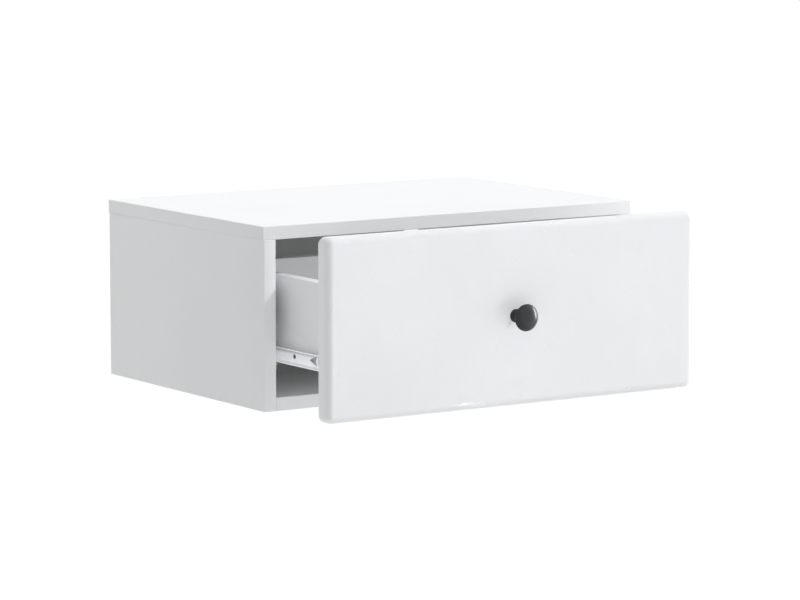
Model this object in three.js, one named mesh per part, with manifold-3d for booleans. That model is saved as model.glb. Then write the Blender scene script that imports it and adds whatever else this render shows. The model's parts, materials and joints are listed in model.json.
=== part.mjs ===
import * as THREE from "three";
import { mergeVertices, toCreasedNormals } from "three/addons/utils/BufferGeometryUtils.js";
import Module from "manifold-3d";

// A wall-hung nightstand with one drawer on telescopic ball-bearing slides.
// Lengths are in millimetres and angles in degrees. X runs along the width, Y from the room to the
// wall and Z up. The pieces are laid out from the middle of the carcass's lower front edge, and the
// whole group has its origin in the middle of the back panel's wall face.

// Carcass
const topWidth = 500;
const carcassDepth = 345;
const carcassHeight = 205;
const boardThickness = 15;
const backThickness = 15;
const topOverhang = 1;
const boardCornerRadius = 0.8;
const boardArris = 0.5;

// Wall-fixing slots in the back panel, level ones so that the cabinet can be moved sideways
const wallSlotLength = 31;
const wallSlotRadius = 6;
const wallSlotSpacing = 337;
const wallSlotDrop = 45;

// Drawer front
const frontSideReveal = 4;
const frontBottomReveal = 2;
const frontTopReveal = 1.5;
const frontThickness = 18;
const frontCornerRadius = 9;
const frontArrisRadius = 8;

// Drawer box
const drawerOpening = 106;
const drawerBoardThickness = 15;
const drawerSideHeight = 96.5;
const drawerSideLift = 52;
const drawerBoxLength = 265;
const drawerBottomThickness = 3;
const grooveLift = 14;
const grooveDepth = 7;
const grooveClearance = 0.3;

// Slides: u is measured from the side panel towards the drawer, v up from the slide's middle
const slideDepth = 12.7;
const slideLift = 62;
const slideLength = 250;
const slideSetback = 13;
const slideHeight = 35;
const sheetThickness = 1;
const sheetBend = 1.5;
const ballRadius = 2;
const raceClearance = 0.15;
const outerRowDepth = 6.2;
const innerRowDepth = 9;
const outerLipWrap = 70;
const outerShoulder = 40;
const middleLipWrap = 50;
const innerShoulder = 45;
const middleWebDepth = 3.7;
const middleRailSetback = 2;
const innerLipDepth = 5.4;

// Ball cages
const cageLength = 100;
const cageThickness = 0.5;
const outerCageDepth = 2.7;
const innerCageDepth = 4.75;
const cageMargin = 0.4;
const cageBend = 0.8;
const ballsPerRow = 5;
const ballPitch = 20;

// Holes and windows in the slides: a place is measured from the slide's front end, and shares are
// of the slide's length
const slotRadius = 2.3;
const slotLength = 12;
const outerSlotShares = [0.24, 0.72];
const middleWindowShares = [0.22, 0.492, 0.764];
const middleWindowLength = 30;
const middleWindowRadius = 4;
const innerHolePlace = 74;
const innerHoleRadius = 2.65;
const frontWindowPlace = 21;
const frontWindowRadius = 5.2;
const bowedWebRadius = 8.5;
const lanceTipPlace = 43;

// Slide screws, each from its own end of the slide, and the pilot hole of the screw left out
const outerScrewInsets = { front: 24, rear: 34 };
const innerScrewInsets = { front: 7, rear: 60 };
const pilotHoleRadius = 2.4;
const pilotHoleDepth = 10;
const panHeadRadius = 3.3;
const panHeadHeight = 1.1;
const panScrewRadius = 1.9;
const panScrewLength = 12;
const panScrewPoint = 3;

// Cam locks, their bolts and dowels
const camRadius = 7.5;
const camDepth = 12;
const camSetback = 24;
const camSlotLength = 9;
const camSlotWidth = 1.6;
const camSlotDepth = 2;
const camPassageReach = 4;
const boltThreadRadius = 3;
const boltThreadLength = 11;
const boltShankRadius = 2.6;
const boltNeckRadius = 1.8;
const boltNeckLength = 3;
const boltHeadRadius = 3.1;
const boltHeadLength = 2.4;
const boltBoreRadius = 4;
const fittingInset = 50;
const drawerCamLift = 55;
const dowelRadius = 4;
const dowelLength = 30;
const dowelTopDepth = 10;
const dowelChamfer = 1;

// Screws through the drawer sides into the drawer back
const backScrewLifts = { lower: 33, upper: 78 };
const backScrewRadius = 2;
const backScrewLength = 40;
const backScrewHeadRadius = 4;
const backScrewHeadHeight = 2.4;
const backScrewPoint = 4;

// Knob and its screw
const knobProjection = 27.5;
const knobHeadRadius = 15.2;
const knobHeadPlane = 20.5;
const knobRimRadius = 2;
const knobBaseRadius = 7.6;
const knobBaseHeight = 2;
const knobNeckRadius = 5.4;
const knobNeckPlane = 8;
const knobBoreDepth = 10;
const knobScrewRadius = 2;
const knobScrewReach = 8;
const knobScrewHeadRadius = 4;
const knobScrewHeadHeight = 2.5;
const knobScrewHoleClearance = 0.3;

// Clearances and cuts
const fitGap = 0.2;
const floorGap = 0.3;
const overrun = 5;

// Facets round a turn or an arc
const arrisSteps = 1;
const frontArrisSteps = 5;
const fastenerSteps = 8;
const windowSteps = 12;
const camSteps = 14;
const wallSlotSteps = 6;
const knobSteps = 28;
const knobCurveSteps = 3;
const raceSteps = 3;
const bendSteps = 2;
const creaseAngle = THREE.MathUtils.degToRad(35);

// Sizes that follow
const sideOuterX = topWidth / 2 - topOverhang;
const sideInnerX = sideOuterX - boardThickness;
const underTop = carcassHeight - boardThickness;
const backInnerY = carcassDepth - backThickness;
const frontWidth = topWidth - 2 * frontSideReveal;
const frontHeight = carcassHeight - frontBottomReveal - frontTopReveal;
const frontMiddleZ = frontBottomReveal + frontHeight / 2;
const drawerOuterX = sideInnerX - slideDepth;
const drawerInnerX = drawerOuterX - drawerBoardThickness;
const drawerSideTop = drawerSideLift + drawerSideHeight;
const drawerBackY = drawerBoxLength - drawerBoardThickness;
const grooveLow = drawerSideLift + grooveLift;
const grooveHigh = grooveLow + drawerBottomThickness + grooveClearance;
const raceRadius = ballRadius + raceClearance + sheetThickness / 2;
const outerRowHeight = slideHeight / 2 - raceRadius - sheetThickness / 2;
const rowAngle = Math.asin((innerRowDepth - outerRowDepth) / (2 * raceRadius));
const innerRowHeight = outerRowHeight - 2 * raceRadius * Math.cos(rowAngle);
const innerWebDepth = slideDepth - sheetThickness / 2;

const toWall = new THREE.Vector3(0, 1, 0);
const toRoom = new THREE.Vector3(0, -1, 0);
const up = new THREE.Vector3(0, 0, 1);
const down = new THREE.Vector3(0, 0, -1);
const hands = { left: -1, right: 1 };

const wasm = await Module();
wasm.setup();

const boardWhite = new THREE.MeshStandardMaterial({ color: 0xf0f1f3, roughness: 0.45 });
const frontWhite = new THREE.MeshStandardMaterial({ color: 0xeeeff1, roughness: 0.35 });
const drawerWhite = new THREE.MeshStandardMaterial({ color: 0xe9eaec, roughness: 0.5 });
const hardboard = new THREE.MeshStandardMaterial({ color: 0xe6e6e4, roughness: 0.6 });
const railSteel = new THREE.MeshStandardMaterial({ color: 0xd9dadc, roughness: 0.32, metalness: 0.9 });
const cageSteel = new THREE.MeshStandardMaterial({ color: 0xb4b6b9, roughness: 0.4, metalness: 0.9 });
const screwSteel = new THREE.MeshStandardMaterial({ color: 0xc4c6c9, roughness: 0.35, metalness: 0.9 });
const camZinc = new THREE.MeshStandardMaterial({ color: 0xb9bbbd, roughness: 0.5, metalness: 0.8 });
const beech = new THREE.MeshStandardMaterial({ color: 0xcfae82, roughness: 0.75 });
const knobBlack = new THREE.MeshStandardMaterial({ color: 0x3a3b3e, roughness: 0.3, metalness: 0.2 });

// Joining and cutting

function solid(geometry) {
  const bare = geometry.clone();
  bare.deleteAttribute("normal");
  bare.deleteAttribute("uv");
  const merged = mergeVertices(bare);
  const vertProperties = merged.attributes.position.array;
  const triVerts = new Uint32Array(merged.index.array);
  return new wasm.Manifold(new wasm.Mesh({ numProp: 3, vertProperties, triVerts }));
}

function geometryOf(made) {
  const { vertProperties, triVerts } = made.getMesh();
  const geometry = new THREE.BufferGeometry();
  geometry.setAttribute("position", new THREE.BufferAttribute(vertProperties, 3));
  geometry.setIndex(new THREE.BufferAttribute(triVerts, 1));
  return geometry;
}

function cut(geometry, tools) {
  return geometryOf(tools.reduce((made, tool) => made.subtract(solid(tool)), solid(geometry)));
}

function fuse(geometry, additions) {
  return geometryOf(additions.reduce((made, piece) => made.add(solid(piece)), solid(geometry)));
}

// Basic forms

function vector(x, y, z) {
  return new THREE.Vector3(x, y, z);
}

function along(point, direction, distance) {
  return point.clone().addScaledVector(direction, distance);
}

// A solid of revolution from [radius, height] pairs, standing at a point along an axis
function turned(profile, steps, at, axis) {
  const points = profile.map(([radius, height]) => new THREE.Vector2(radius, height));
  const turn = new THREE.Quaternion().setFromUnitVectors(toWall, axis);
  return new THREE.LatheGeometry(points, steps).applyQuaternion(turn).translate(at.x, at.y, at.z);
}

function rod(radius, length, at, axis, steps = fastenerSteps) {
  return turned([[0, 0], [radius, 0], [radius, length], [0, length]], steps, at, axis);
}

function block(low, high) {
  const size = high.clone().sub(low);
  const middle = low.clone().add(high).divideScalar(2);
  return new THREE.BoxGeometry(size.x, size.y, size.z).translate(middle.x, middle.y, middle.z);
}

// A box about a point, from the offset of any one of its corners
function box(centre, corner) {
  const reach = vector(...corner.toArray().map(Math.abs));
  return block(centre.clone().sub(reach), centre.clone().add(reach));
}

function roundedRectangle(width, height, radius) {
  const x = width / 2 - radius;
  const y = height / 2 - radius;
  const shape = new THREE.Shape();
  shape.absarc(x, -y, radius, -Math.PI / 2, 0);
  shape.absarc(x, y, radius, 0, Math.PI / 2);
  shape.absarc(-x, y, radius, Math.PI / 2, Math.PI);
  shape.absarc(-x, -y, radius, Math.PI, 1.5 * Math.PI);
  return shape;
}

// A plate of an outline, centred on the origin, with both its faces' arrises rounded
function easedPlate(outline, thickness, arris, steps) {
  const plate = new THREE.ExtrudeGeometry(outline, {
    depth: thickness - 2 * arris,
    curveSegments: steps,
    bevelEnabled: true,
    bevelThickness: arris,
    bevelSize: arris,
    bevelOffset: -arris,
    bevelSegments: steps,
  });
  return plate.translate(0, 0, arris - thickness / 2);
}

// A board between two corners, with the slightly eased edges that edge banding has
function board(low, high) {
  const size = high.clone().sub(low);
  const middle = low.clone().add(high).divideScalar(2);
  const outline = roundedRectangle(size.x, size.y, boardCornerRadius);
  return easedPlate(outline, size.z, boardArris, arrisSteps).translate(middle.x, middle.y, middle.z);
}

function arc(u, v, radius, fromDegrees, toDegrees, steps) {
  const points = [];
  for (let i = 0; i <= steps; i += 1) {
    const angle = THREE.MathUtils.degToRad(THREE.MathUtils.lerp(fromDegrees, toDegrees, i / steps));
    points.push(new THREE.Vector2(u + radius * Math.cos(angle), v + radius * Math.sin(angle)));
  }
  return points;
}

// The closed outline of a bent sheet, from its centreline
function bentSheet(centreline, thickness) {
  const edges = [[], []];
  centreline.forEach((point, i) => {
    const before = centreline[Math.max(i - 1, 0)];
    const after = centreline[Math.min(i + 1, centreline.length - 1)];
    const arriving = point.clone().sub(i > 0 ? before : after).normalize();
    const leaving = after.clone().sub(i > 0 ? point : before).normalize();
    if (i === 0) arriving.copy(leaving);
    if (i === centreline.length - 1) leaving.copy(arriving);
    const heading = arriving.clone().add(leaving).normalize();
    const offset = thickness / 2 / heading.dot(arriving);
    const normal = new THREE.Vector2(-heading.y, heading.x);
    edges[0].push(point.clone().addScaledVector(normal, offset));
    edges[1].push(point.clone().addScaledVector(normal, -offset));
  });
  return [...edges[0], ...edges[1].reverse()];
}

// A channel's whole centreline from its upper half, which ends at the web
function bothHalves(upperHalf) {
  const lowerHalf = upperHalf.map((point) => new THREE.Vector2(point.x, -point.y)).reverse();
  return [...upperHalf, ...lowerHalf];
}

// A channel on one side of the carcass, extruded along Y from its front end
function channel(upperHalf, thickness, side, frontY, length) {
  const outline = bentSheet(bothHalves(upperHalf), thickness);
  const points = outline.map((point) => {
    return new THREE.Vector2(side * (sideInnerX - point.x), slideLift + point.y);
  });
  const extruded = new THREE.ExtrudeGeometry(new THREE.Shape(points), { depth: length, bevelEnabled: false });
  return extruded.rotateX(Math.PI / 2).translate(0, frontY + length, 0);
}

// An outline in Y and Z, pushed through everything along X
function throughX(shape, curveSegments) {
  const reach = topWidth + 2 * overrun;
  const tool = new THREE.ExtrudeGeometry(shape, { depth: reach, curveSegments, bevelEnabled: false });
  const axes = new THREE.Matrix4().makeBasis(toWall, up, vector(1, 0, 0));
  return tool.applyMatrix4(axes).translate(-reach / 2, 0, 0);
}

// A round-ended slot along Y, by its distance behind the front
function slot(y, z, length, radius) {
  const half = length / 2 - radius;
  const shape = new THREE.Shape();
  shape.absarc(y - half, z, radius, Math.PI / 2, 1.5 * Math.PI);
  shape.absarc(y + half, z, radius, -Math.PI / 2, Math.PI / 2);
  return throughX(shape, windowSteps / 2);
}

function roundHole(y, z, radius) {
  const shape = new THREE.Shape();
  shape.absarc(y, z, radius, 0, 2 * Math.PI);
  return throughX(shape, windowSteps);
}

// Adds a piece to its body, with its own origin in its middle
function place(body, name, geometry, material) {
  geometry.computeBoundingBox();
  const middle = geometry.boundingBox.getCenter(new THREE.Vector3());
  geometry.translate(-middle.x, -middle.y, -middle.z);
  geometry.deleteAttribute("uv");
  const mesh = new THREE.Mesh(toCreasedNormals(geometry, creaseAngle), material);
  mesh.name = name;
  mesh.position.copy(middle);
  body.add(mesh);
}

// Fasteners. Each grows by a clearance when it is used as the tool for its own hole.

function panScrew(at, axis, grow = 0) {
  const radius = panScrewRadius + grow;
  const headRadius = panHeadRadius + grow;
  const tip = panScrewLength + grow;
  const profile = [
    [0, -panHeadHeight - grow],
    [headRadius * 0.7, -panHeadHeight - grow],
    [headRadius, -panHeadHeight / 2],
    [headRadius, 0],
    [radius, 0],
    [radius, tip - panScrewPoint],
    [0, tip],
  ];
  return turned(profile, fastenerSteps, at, axis);
}

function countersunkScrew(at, axis, grow = 0) {
  const radius = backScrewRadius + grow;
  const headRadius = backScrewHeadRadius + grow;
  const tip = backScrewLength + grow;
  const profile = [
    [0, 0],
    [headRadius, 0],
    [radius, backScrewHeadHeight + grow],
    [radius, tip - backScrewPoint],
    [0, tip],
  ];
  return turned(profile, fastenerSteps, at, axis);
}

// A cam joint: the bolt is driven into one board and the cam turns in a bore of the other.
// seam is the point where the bolt crosses the boards' joint, into points from there to the cam,
// and the cam's face lies faceDistance from the bolt's axis, in the direction face.
function camJoint(seam, into, face, faceDistance) {
  const onAxis = along(seam, into, camSetback);
  const faceCentre = along(onAxis, face, faceDistance);
  const inwards = face.clone().negate();
  const slotReach = vector(0, 0, 0)
    .addScaledVector(into, camSlotLength / 2)
    .addScaledVector(into.clone().cross(face), camSlotWidth / 2)
    .addScaledVector(face, camSlotDepth);
  const driverSlot = box(faceCentre, slotReach);
  const passageStart = along(onAxis, into, camPassageReach);
  const passageLength = camPassageReach + camRadius + overrun;
  const back = into.clone().negate();
  const passage = rod(boltHeadRadius + floorGap, passageLength, passageStart, back);
  const headStart = camSetback - boltHeadLength / 2;
  const neckStart = headStart - boltNeckLength;
  const bolt = turned(
    [
      [0, -boltThreadLength],
      [boltThreadRadius, -boltThreadLength],
      [boltThreadRadius, 0],
      [boltShankRadius, 0],
      [boltShankRadius, neckStart],
      [boltNeckRadius, neckStart],
      [boltNeckRadius, headStart],
      [boltHeadRadius, headStart],
      [boltHeadRadius, headStart + boltHeadLength],
      [0, headStart + boltHeadLength],
    ],
    fastenerSteps,
    seam,
    into,
  );
  return {
    bolt,
    cam: cut(rod(camRadius, camDepth, faceCentre, inwards, camSteps), [driverSlot, passage]),
    camBores: [
      rod(camRadius + fitGap, camDepth + floorGap + overrun, along(faceCentre, face, overrun), inwards, camSteps),
      rod(boltBoreRadius, camSetback + overrun, along(seam, back, overrun), into),
    ],
    boltBores: [
      rod(boltThreadRadius + fitGap, boltThreadLength + floorGap + overrun, along(seam, into, overrun), back),
    ],
  };
}

function dowel(at, grow = 0) {
  const radius = dowelRadius + grow;
  const low = dowelTopDepth - dowelLength - grow;
  const high = dowelTopDepth + grow;
  const profile = [
    [0, low],
    [radius - dowelChamfer, low],
    [radius, low + dowelChamfer],
    [radius, high - dowelChamfer],
    [radius - dowelChamfer, high],
    [0, high],
  ];
  return turned(profile, fastenerSteps, at, up);
}

// Carcass

function topJoints(side) {
  const x = side * (sideOuterX - boardThickness / 2);
  const face = vector(-side, 0, 0);
  return {
    top_front: camJoint(vector(x, fittingInset, underTop), down, face, boardThickness / 2),
    top_rear: camJoint(vector(x, backInnerY - fittingInset, underTop), down, face, boardThickness / 2),
  };
}

function bottomJoints(side) {
  const z = boardThickness / 2;
  const into = vector(-side, 0, 0);
  return {
    bottom_front: camJoint(vector(side * sideInnerX, fittingInset, z), into, down, z),
    bottom_rear: camJoint(vector(side * sideInnerX, backInnerY - fittingInset, z), into, down, z),
  };
}

function backJoint(side) {
  const seam = vector(side * sideInnerX, backInnerY + backThickness / 2, underTop / 2);
  return { back: camJoint(seam, vector(-side, 0, 0), toWall, backThickness / 2) };
}

function dowelPlace(side) {
  return vector(side * (sideOuterX - boardThickness / 2), carcassDepth / 2, underTop);
}

// Places along a slide of what is set from its two ends
function fromEnds({ front, rear }) {
  return { front, rear: slideLength - rear };
}

function outerScrews(side) {
  return Object.entries(fromEnds(outerScrewInsets)).map(([end, distance]) => {
    const at = vector(side * (sideInnerX - sheetThickness), slideSetback + distance, slideLift);
    return { end, at, axis: vector(side, 0, 0) };
  });
}

function sidePanel(side) {
  const xs = [side * sideInnerX, side * sideOuterX].sort((a, b) => a - b);
  const panel = board(vector(xs[0], 0, 0), vector(xs[1], carcassDepth, underTop));
  const tops = Object.values(topJoints(side));
  const others = Object.values({ ...bottomJoints(side), ...backJoint(side) });
  const screws = outerScrews(side);
  return cut(panel, [
    ...tops.flatMap((joint) => joint.camBores),
    ...others.flatMap((joint) => joint.boltBores),
    ...screws.map(({ at, axis }) => panScrew(at, axis, fitGap)),
    dowel(dowelPlace(side), fitGap),
  ]);
}

function topPanel() {
  const half = topWidth / 2;
  const panel = board(vector(-half, 0, underTop), vector(half, carcassDepth, carcassHeight));
  const bores = Object.values(hands).flatMap((side) => [
    ...Object.values(topJoints(side)).flatMap((joint) => joint.boltBores),
    dowel(dowelPlace(side), fitGap),
  ]);
  return cut(panel, bores);
}

function bottomPanel() {
  const panel = board(vector(-sideInnerX, 0, 0), vector(sideInnerX, backInnerY, boardThickness));
  const joints = Object.values(hands).flatMap((side) => Object.values(bottomJoints(side)));
  return cut(panel, joints.flatMap((joint) => joint.camBores));
}

// A level round-ended slot through the back panel
function wallSlot(x) {
  const half = wallSlotLength / 2 - wallSlotRadius;
  const z = underTop - wallSlotDrop;
  const shape = new THREE.Shape();
  shape.absarc(x - half, z, wallSlotRadius, Math.PI / 2, 1.5 * Math.PI);
  shape.absarc(x + half, z, wallSlotRadius, -Math.PI / 2, Math.PI / 2);
  const depth = backThickness + 2 * overrun;
  const tool = new THREE.ExtrudeGeometry(shape, { depth, curveSegments: wallSlotSteps, bevelEnabled: false });
  return tool.rotateX(Math.PI / 2).translate(0, backInnerY - overrun + depth, 0);
}

function backPanel() {
  const panel = board(vector(-sideInnerX, backInnerY, 0), vector(sideInnerX, carcassDepth, underTop));
  const joints = Object.values(hands).map((side) => backJoint(side).back);
  const slots = Object.values(hands).map((side) => wallSlot((side * wallSlotSpacing) / 2));
  return cut(panel, [...joints.flatMap((joint) => joint.camBores), ...slots]);
}

// Slides

function outerProfile() {
  const race = arc(outerRowDepth, outerRowHeight, raceRadius, 90 - outerLipWrap, 90 + outerShoulder, 2 * raceSteps);
  const flangeHeight = race.at(-1).y;
  const bendDepth = sheetThickness / 2 + sheetBend;
  return [...race, ...arc(bendDepth, flangeHeight - sheetBend, sheetBend, 90, 180, bendSteps)];
}

function middleProfile() {
  const turn = THREE.MathUtils.radToDeg(rowAngle);
  const arch = arc(innerRowDepth, innerRowHeight, raceRadius, 90 - middleLipWrap, 90 + turn, 2 * raceSteps);
  const trough = arc(outerRowDepth, outerRowHeight, raceRadius, turn - 90, -90, raceSteps).slice(1);
  const bendHeight = outerRowHeight - raceRadius - sheetBend;
  return [...arch, ...trough, ...arc(middleWebDepth + sheetBend, bendHeight, sheetBend, 90, 180, bendSteps)];
}

function innerProfile() {
  const trough = arc(innerRowDepth, innerRowHeight, raceRadius, -90 - innerShoulder, -90, raceSteps);
  const lip = new THREE.Vector2(innerLipDepth, trough[0].y);
  const bendHeight = innerRowHeight - raceRadius - sheetBend;
  return [lip, ...trough, ...arc(innerWebDepth - sheetBend, bendHeight, sheetBend, 90, 0, bendSteps)];
}

function cageProfile(webDepth, rowDepth, rowHeight) {
  const end = new THREE.Vector2(rowDepth + ballRadius + cageMargin, rowHeight);
  return [end, ...arc(webDepth + cageBend, rowHeight - cageBend, cageBend, 90, 180, bendSteps)];
}

function outerRail(side) {
  const rail = channel(outerProfile(), sheetThickness, side, slideSetback, slideLength);
  const slots = outerSlotShares.map((share) => {
    return slot(slideSetback + share * slideLength, slideLift, slotLength, slotRadius);
  });
  const holes = Object.values(fromEnds(outerScrewInsets)).map((place) => {
    return roundHole(slideSetback + place, slideLift, slotRadius);
  });
  return cut(rail, [...slots, ...holes]);
}

function middleRail(side) {
  const length = slideLength - 2 * middleRailSetback;
  const rail = channel(middleProfile(), sheetThickness, side, slideSetback + middleRailSetback, length);
  const windows = middleWindowShares.map((share) => {
    return slot(slideSetback + share * slideLength, slideLift, middleWindowLength, middleWindowRadius);
  });
  return cut(rail, windows);
}

// The window behind the bowed web: a triangle that points backwards, less the web's round edge
function lanceWindow() {
  const roundMiddle = slideSetback + frontWindowPlace;
  const triangle = new THREE.Shape([
    new THREE.Vector2(roundMiddle, slideLift - bowedWebRadius),
    new THREE.Vector2(slideSetback + lanceTipPlace, slideLift),
    new THREE.Vector2(roundMiddle, slideLift + bowedWebRadius),
  ]);
  return cut(throughX(triangle, 1), [roundHole(roundMiddle, slideLift, bowedWebRadius)]);
}

function innerRail(side) {
  const rail = channel(innerProfile(), sheetThickness, side, slideSetback, slideLength);
  const holes = Object.values(fromEnds(innerScrewInsets)).map((place) => {
    return roundHole(slideSetback + place, slideLift, slotRadius);
  });
  const roundWindow = roundHole(slideSetback + frontWindowPlace, slideLift, frontWindowRadius);
  const freeHole = roundHole(slideSetback + innerHolePlace, slideLift, innerHoleRadius);
  return cut(rail, [...holes, roundWindow, freeHole, lanceWindow()]);
}

// Balls in two rows, snapped into a bent strip that runs along with them
function ballCage(side, webDepth, rowDepth, rowHeight) {
  const middleY = slideSetback + slideLength / 2;
  const profile = cageProfile(webDepth, rowDepth, rowHeight);
  const strip = channel(profile, cageThickness, side, middleY - cageLength / 2, cageLength);
  const balls = [];
  for (const v of [-rowHeight, rowHeight]) {
    for (let i = 0; i < ballsPerRow; i += 1) {
      const y = middleY + (i - (ballsPerRow - 1) / 2) * ballPitch;
      const ball = new THREE.IcosahedronGeometry(ballRadius);
      balls.push(ball.translate(side * (sideInnerX - rowDepth), y, slideLift + v));
    }
  }
  return fuse(strip, balls);
}

// Drawer, laid out from the front's back face

function grooveTool(low, high) {
  return block(vector(low.x, low.y, grooveLow), vector(high.x, high.y, grooveHigh));
}

function drawerGroove() {
  const reach = drawerInnerX + grooveDepth;
  return grooveTool(vector(-reach, -grooveDepth, 0), vector(reach, drawerBackY + grooveDepth, 0));
}

function drawerBottom() {
  const x = drawerInnerX + grooveDepth - grooveClearance;
  const low = vector(-x, grooveClearance - grooveDepth, grooveLow + grooveClearance / 2);
  const high = vector(x, drawerBackY + grooveDepth - grooveClearance, grooveHigh - grooveClearance / 2);
  return block(low, high);
}

function drawerFrontJoint(side) {
  const z = drawerSideLift + drawerCamLift;
  const seam = vector(side * (drawerOuterX - drawerBoardThickness / 2), 0, z);
  return camJoint(seam, toWall, vector(-side, 0, 0), drawerBoardThickness / 2);
}

function innerScrews(side) {
  return Object.entries(fromEnds(innerScrewInsets)).map(([end, distance]) => {
    const at = vector(side * (drawerOuterX + sheetThickness), slideSetback + distance, slideLift);
    return { end, at, axis: vector(-side, 0, 0) };
  });
}

function backScrews(side) {
  return Object.entries(backScrewLifts).map(([level, lift]) => {
    const at = vector(side * drawerOuterX, drawerBackY + drawerBoardThickness / 2, drawerSideLift + lift);
    return { level, at, axis: vector(-side, 0, 0) };
  });
}

function drawerFront() {
  const thickness = frontThickness + 2 * frontArrisRadius;
  const outline = roundedRectangle(frontWidth, frontHeight, frontCornerRadius);
  const pressed = easedPlate(outline, thickness, frontArrisRadius, frontArrisSteps);
  pressed.rotateX(Math.PI / 2).translate(0, thickness / 2 - frontThickness, frontMiddleZ);
  const halfWidth = frontWidth / 2 + overrun;
  const behind = block(
    vector(-halfWidth, 0, -overrun),
    vector(halfWidth, thickness, carcassHeight + overrun),
  );
  const knobHole = rod(
    knobScrewRadius + knobScrewHoleClearance,
    frontThickness + 2 * overrun,
    vector(0, overrun, frontMiddleZ),
    toRoom,
  );
  const bolts = Object.values(hands).flatMap((side) => drawerFrontJoint(side).boltBores);
  return cut(pressed, [behind, knobHole, drawerGroove(), ...bolts]);
}

function drawerSide(side) {
  const xs = [side * drawerInnerX, side * drawerOuterX].sort((a, b) => a - b);
  const panel = board(
    vector(xs[0], 0, drawerSideLift),
    vector(xs[1], drawerBoxLength, drawerSideTop),
  );
  const groove = grooveTool(
    vector(-drawerInnerX - grooveDepth, -overrun, 0),
    vector(drawerInnerX + grooveDepth, drawerBoxLength + overrun, 0),
  );
  const freeHole = vector(side * (drawerOuterX + overrun), slideSetback + innerHolePlace, slideLift);
  const pilotHole = rod(pilotHoleRadius, pilotHoleDepth + overrun, freeHole, vector(-side, 0, 0));
  return cut(panel, [
    groove,
    pilotHole,
    ...drawerFrontJoint(side).camBores,
    ...innerScrews(side).map(({ at, axis }) => panScrew(at, axis, fitGap)),
    ...backScrews(side).map(({ at, axis }) => countersunkScrew(at, axis, fitGap)),
  ]);
}

function drawerBack() {
  const panel = board(
    vector(-drawerInnerX, drawerBackY, drawerSideLift),
    vector(drawerInnerX, drawerBoxLength, drawerSideTop),
  );
  const screws = Object.values(hands).flatMap((side) => backScrews(side));
  return cut(panel, [drawerGroove(), ...screws.map(({ at, axis }) => countersunkScrew(at, axis, fitGap))]);
}

function knob() {
  const outline = new THREE.Path();
  outline.moveTo(0, 0);
  outline.lineTo(knobBaseRadius, 0);
  outline.lineTo(knobBaseRadius, knobBaseHeight);
  outline.quadraticCurveTo(knobNeckRadius, knobBaseHeight, knobNeckRadius, knobNeckPlane);
  outline.quadraticCurveTo(
    knobNeckRadius,
    knobHeadPlane - knobRimRadius,
    knobHeadRadius - knobRimRadius,
    knobHeadPlane - knobRimRadius,
  );
  outline.absarc(knobHeadRadius - knobRimRadius, knobHeadPlane, knobRimRadius, -Math.PI / 2, Math.PI / 4);
  outline.quadraticCurveTo(knobHeadRadius / 2, knobProjection, 0, knobProjection);
  const profile = outline.getPoints(knobCurveSteps).map((point) => [Math.max(point.x, 0), point.y]);
  const at = vector(0, -frontThickness, frontMiddleZ);
  const bore = rod(knobScrewRadius + fitGap, knobBoreDepth + overrun, along(at, toWall, overrun), toRoom);
  return cut(turned(profile, knobSteps, at, toRoom), [bore]);
}

function knobScrew() {
  const tip = frontThickness + knobScrewReach;
  const profile = [
    [0, -knobScrewHeadHeight],
    [knobScrewHeadRadius * 0.6, -knobScrewHeadHeight],
    [knobScrewHeadRadius, -knobScrewHeadHeight / 3],
    [knobScrewHeadRadius, 0],
    [knobScrewRadius, 0],
    [knobScrewRadius, tip],
    [0, tip],
  ];
  return turned(profile, fastenerSteps, vector(0, 0, frontMiddleZ), toRoom);
}

// Assembly: what moves together is one group, and the drawer stands partly open

const carcass = new THREE.Group();
const middleRails = new THREE.Group();
const outerCages = new THREE.Group();
const innerCages = new THREE.Group();
const drawer = new THREE.Group();
drawer.position.y = -drawerOpening;
innerCages.position.y = -drawerOpening / 2;

place(carcass, "top_panel", topPanel(), boardWhite);
place(carcass, "bottom_panel", bottomPanel(), boardWhite);
place(carcass, "back_panel", backPanel(), boardWhite);
place(drawer, "drawer_front", drawerFront(), frontWhite);
place(drawer, "drawer_back", drawerBack(), drawerWhite);
place(drawer, "drawer_bottom", drawerBottom(), hardboard);
place(drawer, "knob", knob(), knobBlack);
place(drawer, "knob_screw", knobScrew(), screwSteel);

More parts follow.
